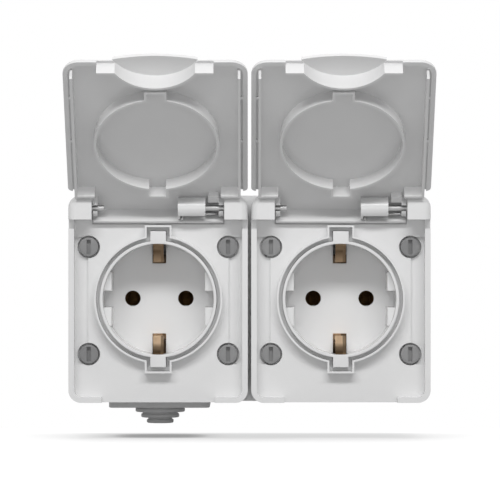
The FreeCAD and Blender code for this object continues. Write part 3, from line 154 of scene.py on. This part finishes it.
class SocketSizes(bpy.types.PropertyGroup):
    """Sizes of the soft edges, the springs and the fine surface texture."""
    frame_edge: FloatProperty(
        name="Frame edge", description="Width of the soft edge round the front frames",
        subtype="DISTANCE", min=0, default=0.00028)
    lid_edge: FloatProperty(
        name="Lid edge", description="Width of the soft edge round the walls and ribs of the lids",
        subtype="DISTANCE", min=0, default=0.0002)
    insert_edge: FloatProperty(
        name="Insert edge", description="Width of the soft edge round the collars, tabs and guide blocks",
        subtype="DISTANCE", min=0, default=0.00025)
    box_edge: FloatProperty(
        name="Box edge", description="Width of the soft edge round the back box",
        subtype="DISTANCE", min=0, default=0.0004)
    screw_edge: FloatProperty(
        name="Screw edge", description="Width of the soft edge round the screw heads and their slots",
        subtype="DISTANCE", min=0, default=0.00024)
    gland_edge: FloatProperty(
        name="Gland edge", description="Width of the soft edge round the steps of the rubber gland",
        subtype="DISTANCE", min=0, default=0.0005)
    clip_edge: FloatProperty(
        name="Clip edge", description="Width of the soft edge round the earth clips",
        subtype="DISTANCE", min=0, default=0.00012)
    coil_first: FloatProperty(
        name="First turn", description="Spring end that turns with the lid, from the middle of the unit",
        subtype="DISTANCE", default=0.0089)
    coil_last: FloatProperty(
        name="Last turn", description="Spring end that stays with the tower, from the middle of the unit",
        subtype="DISTANCE", default=0.0150)
    edge_steps: IntProperty(
        name="Edge steps", description="Faces across each soft edge", min=1, max=4, default=2)
    grain: FloatProperty(
        name="Grain", description="Depth of the fine texture of the mouldings",
        subtype="DISTANCE", min=0, default=0.00002)


class SocketStage(bpy.types.PropertyGroup):
    """The camera, the lamps and the floor."""
    distance: FloatProperty(
        name="Camera distance", description="From the wall plane to the camera",
        subtype="DISTANCE", default=1.348)
    height: FloatProperty(
        name="Camera height", description="Above the middle of the wells",
        subtype="DISTANCE", default=0.0245)
    aside: FloatProperty(
        name="Camera aside", description="To the right of the line between the units",
        subtype="DISTANCE", default=0.0)
    lens: FloatProperty(
        name="Lens", description="Focal length in millimetres", subtype="DISTANCE_CAMERA", default=265)
    shift_x: FloatProperty(
        name="Shift across", description="Lens shift that sets the object beside the middle of the view",
        default=0.001)
    shift_y: FloatProperty(
        name="Shift up", description="Lens shift that sets the object above the middle of the view",
        default=-0.04)
    floor_height: FloatProperty(
        name="Floor", description="Height of the floor, just under the gland",
        subtype="DISTANCE", default=-0.050)
    key_power: FloatProperty(
        name="Key lamp", description="Power of the large lamp in front and above",
        subtype="POWER", default=15.7)
    top_power: FloatProperty(
        name="Top lamp", description="Power of the large lamp overhead", subtype="POWER", default=2.5)
    front_power: FloatProperty(
        name="Front lamp", description="Power of the soft lamp beside the camera",
        subtype="POWER", default=0.8)
    surround: FloatProperty(
        name="Surround", description="Level of the light that comes from all round", default=0.35)


# Working with meshes

def only(obj):
    """Makes obj the one selected and active object."""
    bpy.ops.object.select_all(action="DESELECT")
    obj.select_set(True)
    bpy.context.view_layer.objects.active = obj


def copy_of(node, name, triangles=True):
    """A copy of a node's mesh as a piece of its own, merged into larger triangles or flat faces."""
    piece = bpy.data.objects.new(name, frame["nodes"][node].data.copy())
    piece.data.materials.clear()
    bpy.context.scene.collection.objects.link(piece)
    only(piece)
    bpy.ops.object.mode_set(mode="EDIT")
    bpy.ops.mesh.select_mode(type="VERT")
    bpy.ops.mesh.select_all(action="SELECT")
    bpy.ops.mesh.remove_doubles(threshold=SAME_POINT)
    bpy.ops.mesh.dissolve_limited(angle_limit=FLAT_ENOUGH)
    if triangles:
        bpy.ops.mesh.quads_convert_to_tris(quad_method="BEAUTY", ngon_method="BEAUTY")
    bpy.ops.object.mode_set(mode="OBJECT")
    return piece


def mark_outer_edges(piece):
    """Marks the sharp edges that stand outwards, so that a bevel leaves the grooves alone."""
    mesh = bmesh.new()
    mesh.from_mesh(piece.data)
    weight = mesh.edges.layers.float.new("bevel_weight_edge")
    for edge in mesh.edges:
        if len(edge.link_faces) == 2 and edge.calc_face_angle_signed() > SHARP:
            edge[weight] = 1
    mesh.to_mesh(piece.data)
    mesh.free()


def soften(piece, width, steps, outer_only=False):
    """Rounds the sharp edges of a piece, all or only the outer ones, and evens its shading."""
    only(piece)
    if outer_only:
        mark_outer_edges(piece)
    edge = piece.modifiers.new("soft edge", "BEVEL")
    edge.width = width
    edge.segments = steps
    edge.limit_method = "WEIGHT" if outer_only else "ANGLE"
    edge.angle_limit = SHARP
    edge.use_clamp_overlap = not outer_only
    bpy.ops.object.modifier_apply(modifier=edge.name)
    bpy.ops.object.shade_smooth_by_angle(angle=SMOOTH_BELOW)
    even = piece.modifiers.new("even shading", "WEIGHTED_NORMAL")
    even.mode = "FACE_AREA"
    even.keep_sharp = True
    bpy.ops.object.modifier_apply(modifier=even.name)


def settle(piece, body, finish, node):
    """Gives a finished piece its finish, hands it to its body, and hides the node that it stands for."""
    piece.data.materials.append(finish_for(finish))
    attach(piece, body)
    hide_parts(node)


def make(node, name, body, finish, edge):
    """Makes a piece with soft edges from a node and settles it."""
    piece = copy_of(node, name)
    soften(piece, edge, bpy.context.scene.socket_sizes.edge_steps)
    settle(piece, body, finish, node)


def paint(node, finish):
    """Gives a node that stays as it is its finish."""
    for place in frame["nodes"][node].material_slots:
        place.material = finish_for(finish)


# Working with shader nodes

def empty_finish(name):
    """A new material with its output, and the coordinates that are fixed to a piece."""
    finish = bpy.data.materials.new(name)
    finish.use_nodes = True
    tree = finish.node_tree
    tree.nodes.clear()
    out = tree.nodes.new("ShaderNodeOutputMaterial")
    place = tree.nodes.new("ShaderNodeTexCoord")
    return finish, tree, out, place.outputs["Object"]


def solid_finish(name):
    """A new material with a shader at its output."""
    finish, tree, out, place = empty_finish(name)
    shader = tree.nodes.new("ShaderNodeBsdfPrincipled")
    tree.links.new(shader.outputs["BSDF"], out.inputs["Surface"])
    return finish, tree, shader, place


def axes_of(tree, place):
    """The three coordinates one by one."""
    axes = tree.nodes.new("ShaderNodeSeparateXYZ")
    tree.links.new(place, axes.inputs["Vector"])
    return axes.outputs


def noise(tree, place, scale, detail):
    """A noise pattern that is fixed to the piece."""
    pattern = tree.nodes.new("ShaderNodeTexNoise")
    pattern.inputs["Scale"].default_value = scale
    pattern.inputs["Detail"].default_value = detail
    tree.links.new(place, pattern.inputs["Vector"])
    return pattern.outputs["Fac"]


def coloured(tree, source, low, high):
    """A pattern turned into colours between low and high."""
    ramp = tree.nodes.new("ShaderNodeValToRGB")
    for stop, position, colour in zip(ramp.color_ramp.elements, COLOUR_RANGE, (low, high)):
        stop.position = position
        stop.color = tuple(colour)
    tree.links.new(source, ramp.inputs["Fac"])
    return ramp.outputs["Color"]


def ranged(tree, source, given, wanted, smooth=False):
    """Numbers of one range brought into another."""
    reach = tree.nodes.new("ShaderNodeMapRange")
    if smooth:
        reach.interpolation_type = "SMOOTHSTEP"
    reach.inputs["From Min"].default_value, reach.inputs["From Max"].default_value = given
    reach.inputs["To Min"].default_value, reach.inputs["To Max"].default_value = wanted
    tree.links.new(source, reach.inputs["Value"])
    return reach.outputs["Result"]


def worked_out(tree, operation, *terms):
    """The result of a sum, whose terms are outputs of other nodes or numbers."""
    node = tree.nodes.new("ShaderNodeMath")
    node.operation = operation
    for socket, term in zip(node.inputs, terms):
        if isinstance(term, bpy.types.NodeSocket):
            tree.links.new(term, socket)
        else:
            socket.default_value = term
    return node.outputs["Value"]


def either(tree, share, first, second):
    """The first shader where the share is nought, the second where it is one."""
    mix = tree.nodes.new("ShaderNodeMixShader")
    tree.links.new(share, mix.inputs["Fac"])
    tree.links.new(first, mix.inputs[1])
    tree.links.new(second, mix.inputs[2])
    return mix.outputs["Shader"]


def raise_surface(tree, shader, source, depth, strength):
    """Lets a pattern stand out of the surface by depth."""
    bump = tree.nodes.new("ShaderNodeBump")
    bump.inputs["Distance"].default_value = depth
    bump.inputs["Strength"].default_value = strength
    tree.links.new(source, bump.inputs["Height"])
    tree.links.new(bump.outputs["Normal"], shader.inputs["Normal"])


def mixed(first, second, share):
    """The colour that lies between two at a share of the way."""
    return tuple(a + (b - a) * share for a, b in zip(tuple(first), tuple(second)))


# Finishes

def moulded(name, colour, shade, rough, depth, grain_scale=5200, gloss=0.5):
    """Satin moulded plastic: a faint cloud in the colour, and a fine spark-finished grain."""
    finish, tree, shader, place = solid_finish(name)
    broad = noise(tree, place, scale=60, detail=3)
    fine = noise(tree, place, scale=grain_scale, detail=2)
    tree.links.new(coloured(tree, broad, shade, colour), shader.inputs["Base Color"])
    tree.links.new(ranged(tree, fine, NUMBER_RANGE, rough), shader.inputs["Roughness"])
    shader.inputs["Specular IOR Level"].default_value = gloss
    raise_surface(tree, shader, fine, depth, strength=0.5)
    return finish


def brushed(name, rough, marks):
    """Bare metal with fine marks along one direction, its colour still to come."""
    finish, tree, shader, place = solid_finish(name)
    shader.inputs["Metallic"].default_value = 1
    along = tree.nodes.new("ShaderNodeMapping")
    along.inputs["Scale"].default_value = marks
    tree.links.new(place, along.inputs["Vector"])
    fine = noise(tree, along.outputs["Vector"], scale=1, detail=4)
    tree.links.new(ranged(tree, fine, NUMBER_RANGE, rough), shader.inputs["Roughness"])
    raise_surface(tree, shader, fine, MARK_DEPTH, strength=0.3)
    return finish, tree, shader, place


def metal(name, colour, shade, rough, marks):
    """Brushed metal with a cloud in its colour."""
    finish, tree, shader, place = brushed(name, rough, marks)
    broad = noise(tree, place, scale=320, detail=3)
    tree.links.new(coloured(tree, broad, shade, colour), shader.inputs["Base Color"])
    return finish


def clips_with_painted_light(bright, dull):
    """Sheet metal of the clips with painted light: painted shade at the bends, a painted highlight where
    they catch the light, and painted shade on the right leaf.
    """
    finish, tree, shader, place = brushed("Sheet metal of the clips", (0.3, 0.5), SHEET_MARKS)
    axes = axes_of(tree, place)
    bands = tree.nodes.new("ShaderNodeValToRGB")
    stops = bands.color_ramp.elements
    stops[0].position, stops[1].position = CLIP_PAINTED_LIGHT_BANDS[0][0], CLIP_PAINTED_LIGHT_BANDS[-1][0]
    for position, _ in CLIP_PAINTED_LIGHT_BANDS[1:-1]:
        stops.new(position)
    for stop, (_, share) in zip(stops, CLIP_PAINTED_LIGHT_BANDS):
        stop.color = mixed(dull, bright, share)
    tree.links.new(ranged(tree, axes["Z"], CLIP_HEIGHTS, (0, 1)), bands.inputs["Fac"])
    # Painted shade on the right leaf of each clip, taken across from the middle of its unit
    middle = worked_out(tree, "MULTIPLY", worked_out(tree, "SIGN", axes["X"]), UNIT_MIDDLE)
    across = worked_out(tree, "SUBTRACT", axes["X"], middle)
    painted_leaf_shade = tree.nodes.new("ShaderNodeMix")
    painted_leaf_shade.data_type = "RGBA"
    share, first, second, result = painted_leaf_shade.inputs[0], painted_leaf_shade.inputs[6], painted_leaf_shade.inputs[7], painted_leaf_shade.outputs[2]
    second.default_value = mixed(dull, bright, SIDE_LEAF_BRIGHT)
    tree.links.new(ranged(tree, across, SIDE_LEAF, (0, SIDE_LEAF_COVER)), share)
    tree.links.new(bands.outputs["Color"], first)
    tree.links.new(result, shader.inputs["Base Color"])
    return finish


def new_finish(name):
    """Makes the finish of that name from the colours set."""
    colours = bpy.context.scene.socket_colours
    grain = bpy.context.scene.socket_sizes.grain
    if name == "shell":
        return moulded("White moulding", colours.shell, colours.shell_shade, (0.18, 0.27), grain)
    if name == "screw":
        return moulded("Grey screw plastic", colours.screw, colours.screw_shade, (0.26, 0.4), grain * 1.5)
    if name == "rubber":
        return moulded("Grey rubber", colours.rubber, colours.rubber_shade, (0.52, 0.68), grain * 2,
                       grain_scale=3200, gloss=0.35)
    if name == "clip":
        return clips_with_painted_light(colours.clip, colours.clip_painted_shade)
    if name == "leaf":
        return metal("Tarnished brass", colours.leaf, colours.leaf_shade, (0.6, 0.8), SHEET_MARKS)
    if name == "steel":
        return metal("Plated steel", colours.steel, colours.steel_shade, (0.3, 0.5), WIRE_MARKS)
    raise ValueError("no finish is named " + name)


FINISHES = {}


def finish_for(name):
    """The finish of that name, made on its first use."""
    if name not in FINISHES:
        FINISHES[name] = new_finish(name)
    return FINISHES[name]


# Pieces

class SOCKET_OT_back_box(bpy.types.Operator):
    """Makes the back box with soft outer edges"""
    bl_idname = "socket.back_box"
    bl_label = "Back box"

    def execute(self, context):
        sizes = context.scene.socket_sizes
        make("back_box", "back_box_moulding", "housing", "shell", sizes.box_edge)
        return {"FINISHED"}


class SOCKET_OT_cable_gland(bpy.types.Operator):
    """Makes the stepped rubber gland and finishes the seals"""
    bl_idname = "socket.cable_gland"
    bl_label = "Cable gland and seals"

    def execute(self, context):
        sizes = context.scene.socket_sizes
        piece = copy_of("cable_gland", "stepped_gland", triangles=False)
        soften(piece, sizes.gland_edge, sizes.edge_steps + 1, outer_only=True)
        settle(piece, "housing", "rubber", "cable_gland")
        for unit in UNITS:
            paint(unit + "_frame_seal", "rubber")
        return {"FINISHED"}


class SOCKET_OT_front_frames(bpy.types.Operator):
    """Makes the two front frames with soft edges"""
    bl_idname = "socket.front_frames"
    bl_label = "Front frames"

    def execute(self, context):
        sizes = context.scene.socket_sizes
        for unit in UNITS:
            node = unit + "_front_frame"
            make(node, node + "_moulding", "housing", "shell", sizes.frame_edge)
        return {"FINISHED"}


class SOCKET_OT_socket_inserts(bpy.types.Operator):
    """Makes the two round wells with their collars and tabs"""
    bl_idname = "socket.socket_inserts"
    bl_label = "Socket inserts"

    def execute(self, context):
        sizes = context.scene.socket_sizes
        for unit in UNITS:
            node = unit + "_socket_insert"
            make(node, node + "_moulding", "housing", "shell", sizes.insert_edge)
            paint(unit + "_contact_carrier", "shell")
        return {"FINISHED"}


class SOCKET_OT_cover_screws(bpy.types.Operator):
    """Makes the eight slotted cover screws with soft edges"""
    bl_idname = "socket.cover_screws"
    bl_label = "Cover screws"

    def execute(self, context):
        sizes = context.scene.socket_sizes
        for unit in UNITS:
            for screw in COVER_SCREWS:
                node = unit + "_" + screw
                make(node, node + "_turned", "housing", "screw", sizes.screw_edge)
        return {"FINISHED"}


class SOCKET_OT_contacts(bpy.types.Operator):
    """Makes the earth brackets with their clips, and finishes the contact leaves and the inner screws"""
    bl_idname = "socket.contacts"
    bl_label = "Contacts"

    def execute(self, context):
        sizes = context.scene.socket_sizes
        for unit in UNITS:
            for name in ("_line_contact", "_neutral_contact"):
                paint(unit + name, "leaf")
            node = unit + "_earth_bracket"
            make(node, node + "_pressed", "housing", "clip", sizes.clip_edge)
            for name in ("_terminal_screws", "_carrier_screws"):
                paint(unit + name, "steel")
        return {"FINISHED"}


class SOCKET_OT_hinges(bpy.types.Operator):
    """Finishes the hinge pins and makes the springs"""
    bl_idname = "socket.hinges"
    bl_label = "Hinges"

    def execute(self, context):
        for unit in UNITS:
            for name in ("_stub_pin", "_spring_pin"):
                paint(unit + name, "steel")
            node = unit + "_hinge_spring"
            piece = copy_of(node, node + "_wire")
            bpy.ops.object.shade_smooth_by_angle(angle=SMOOTH_BELOW)
            piece.data.materials.append(finish_for("steel"))
            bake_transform(piece)
            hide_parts(node)
        return {"FINISHED"}


class SOCKET_OT_lids(bpy.types.Operator):
    """Makes the two hinged lids with soft edges"""
    bl_idname = "socket.lids"
    bl_label = "Lids"

    def execute(self, context):
        sizes = context.scene.socket_sizes
        for unit in UNITS:
            node = unit + "_lid"
            make(node, node + "_moulding", node, "shell", sizes.lid_edge)
        return {"FINISHED"}


# Stage

def lamp(name, where, across, power):
    """A large soft lamp that looks at the object."""
    data = bpy.data.lights.new(name, "AREA")
    data.shape = "RECTANGLE"
    data.size, data.size_y = across
    data.energy = power
    holder = bpy.data.objects.new(name, data)
    bpy.context.scene.collection.objects.link(holder)
    holder.location = where
    holder.rotation_euler = (Vector(LAMP_AIM) - Vector(where)).to_track_quat("-Z", "Y").to_euler()


def seen_directly(tree):
    """One where the camera, a gloss or a clear surface looks at the stage, otherwise nought."""
    path = tree.nodes.new("ShaderNodeLightPath").outputs
    first = worked_out(tree, "MAXIMUM", path["Is Camera Ray"], path["Is Glossy Ray"])
    return worked_out(tree, "MAXIMUM", first, path["Is Transmission Ray"])


def white_light(tree, strength):
    """White light of a strength, for the world."""
    light = tree.nodes.new("ShaderNodeBackground")
    light.inputs["Color"].default_value = (1, 1, 1, 1)
    light.inputs["Strength"].default_value = strength
    return light.outputs["Background"]


def white_surround(level):
    """A world that is white where it is seen, and lights the scene at its own level."""
    world = bpy.data.worlds.new("White surround")
    world.use_nodes = True
    tree = world.node_tree
    tree.nodes.clear()
    out = tree.nodes.new("ShaderNodeOutputWorld")
    both = either(tree, seen_directly(tree), white_light(tree, level), white_light(tree, 1))
    tree.links.new(both, out.inputs["Surface"])
    bpy.context.scene.world = world


def painted_nearness_shade(tree, reach, closest, level):
    """A painted contact shadow for the floor's glow: falls from one on the open floor to the level where
    things stand close above it.
    """
    near = tree.nodes.new("ShaderNodeAmbientOcclusion")
    near.inputs["Distance"].default_value = reach
    near.samples = 16
    return ranged(tree, near.outputs["AO"], (closest, 1), (level, 1), smooth=True)


def matt(tree, colour):
    """A matt surface of one colour."""
    surface = tree.nodes.new("ShaderNodeBsdfDiffuse")
    surface.inputs["Color"].default_value = colour
    return surface.outputs["BSDF"]


def white_floor_finish():
    """White floor whose glow holds painted shade and light: a painted contact shadow where things stand
    close above it, and a glow towards the wall that washes out the real shadow behind the object; clear
    when seen from below.
    """
    finish, tree, out, place = empty_finish("White floor")
    direct = seen_directly(tree)
    under_box = painted_nearness_shade(tree, reach=0.04, closest=0.2, level=0.8)
    under_gland = painted_nearness_shade(tree, reach=0.0135, closest=0.3, level=0.3)
    # The glow is darkened under the box and the gland, a painted contact shadow, and raised towards the
    # wall, a painted light
    shadow = worked_out(tree, "MULTIPLY", under_box, under_gland)
    painted_light_at_wall = ranged(tree, axes_of(tree, place)["Y"], FLOOR_GLOW_FROM, FLOOR_GLOW, smooth=True)
    glow = tree.nodes.new("ShaderNodeEmission")
    tree.links.new(worked_out(tree, "MULTIPLY", shadow, painted_light_at_wall), glow.inputs["Strength"])
    seen = tree.nodes.new("ShaderNodeAddShader")
    tree.links.new(matt(tree, FLOOR_SEEN), seen.inputs[0])
    tree.links.new(glow.outputs["Emission"], seen.inputs[1])
    top = either(tree, direct, matt(tree, FLOOR_BOUNCE), seen.outputs["Shader"])
    side = tree.nodes.new("ShaderNodeNewGeometry")
    from_below = worked_out(tree, "MULTIPLY", side.outputs["Backfacing"], direct)
    clear = tree.nodes.new("ShaderNodeBsdfTransparent")
    tree.links.new(either(tree, from_below, top, clear.outputs["BSDF"]), out.inputs["Surface"])
    return finish


class SOCKET_OT_stage(bpy.types.Operator):
    """Sets up the floor, the lamps, the surround and the camera"""
    bl_idname = "socket.stage"
    bl_label = "Stage"

    def execute(self, context):
        stage = context.scene.socket_stage
        bpy.ops.object.select_all(action="DESELECT")
        bpy.ops.mesh.primitive_plane_add(size=1, location=(0, FLOOR_BACK, stage.floor_height))
        floor = context.object
        floor.name = "floor"
        floor.scale = FLOOR_SIZE
        bpy.ops.object.transform_apply(location=True, rotation=False, scale=True)
        floor.data.materials.append(white_floor_finish())
        white_surround(stage.surround)
        lamp("key lamp", where=(0.0, -1.21, 1.04), across=(1.5, 0.25), power=stage.key_power)
        lamp("front lamp", where=(0.0, -1.45, 0.1), across=(0.25, 0.5), power=stage.front_power)
        lamp("top lamp", where=(0.0, -0.1, 1.4), across=(1.2, 0.9), power=stage.top_power)
        data = bpy.data.cameras.new("camera")
        data.lens = stage.lens
        data.sensor_width = 36
        data.shift_x = stage.shift_x
        data.shift_y = stage.shift_y
        data.clip_start = 0.05
        camera = bpy.data.objects.new("camera", data)
        context.scene.collection.objects.link(camera)
        camera.location = (stage.aside, -stage.distance, stage.height)
        camera.rotation_euler = (math.radians(90), 0, 0)
        context.scene.camera = camera
        context.scene.view_settings.view_transform = "Standard"
        return {"FINISHED"}


class SOCKET_PT_panel(bpy.types.Panel):
    """The pieces of the socket, the finishes and the stage"""
    bl_idname = "SOCKET_PT_panel"
    bl_label = "Double outdoor socket"
    bl_space_type = "VIEW_3D"
    bl_region_type = "UI"
    bl_category = "Socket"

    def draw(self, context):
        layout = self.layout
        for operator in STEPS:
            layout.operator(operator.bl_idname)
        for group in (context.scene.socket_colours, context.scene.socket_sizes, context.scene.socket_stage):
            box = layout.box()
            for name in group.__annotations__:
                box.prop(group, name)


STEPS = (
    SOCKET_OT_back_box,
    SOCKET_OT_cable_gland,
    SOCKET_OT_front_frames,
    SOCKET_OT_socket_inserts,
    SOCKET_OT_cover_screws,
    SOCKET_OT_contacts,
    SOCKET_OT_hinges,
    SOCKET_OT_lids,
    SOCKET_OT_stage,
)
CLASSES = (SocketColours, SocketSizes, SocketStage) + STEPS + (SOCKET_PT_panel,)


def register():
    for item in CLASSES:
        bpy.utils.register_class(item)
    bpy.types.Scene.socket_colours = PointerProperty(type=SocketColours)
    bpy.types.Scene.socket_sizes = PointerProperty(type=SocketSizes)
    bpy.types.Scene.socket_stage = PointerProperty(type=SocketStage)


def unregister():
    del bpy.types.Scene.socket_stage
    del bpy.types.Scene.socket_sizes
    del bpy.types.Scene.socket_colours
    for item in reversed(CLASSES):
        bpy.utils.unregister_class(item)


def main():
    register()
    bpy.ops.socket.back_box()
    bpy.ops.socket.cable_gland()
    bpy.ops.socket.front_frames()
    bpy.ops.socket.socket_inserts()
    bpy.ops.socket.cover_screws()
    bpy.ops.socket.contacts()
    bpy.ops.socket.hinges()
    bpy.ops.socket.lids()
    bpy.ops.socket.stage()


if __name__ == "__main__":
    main()
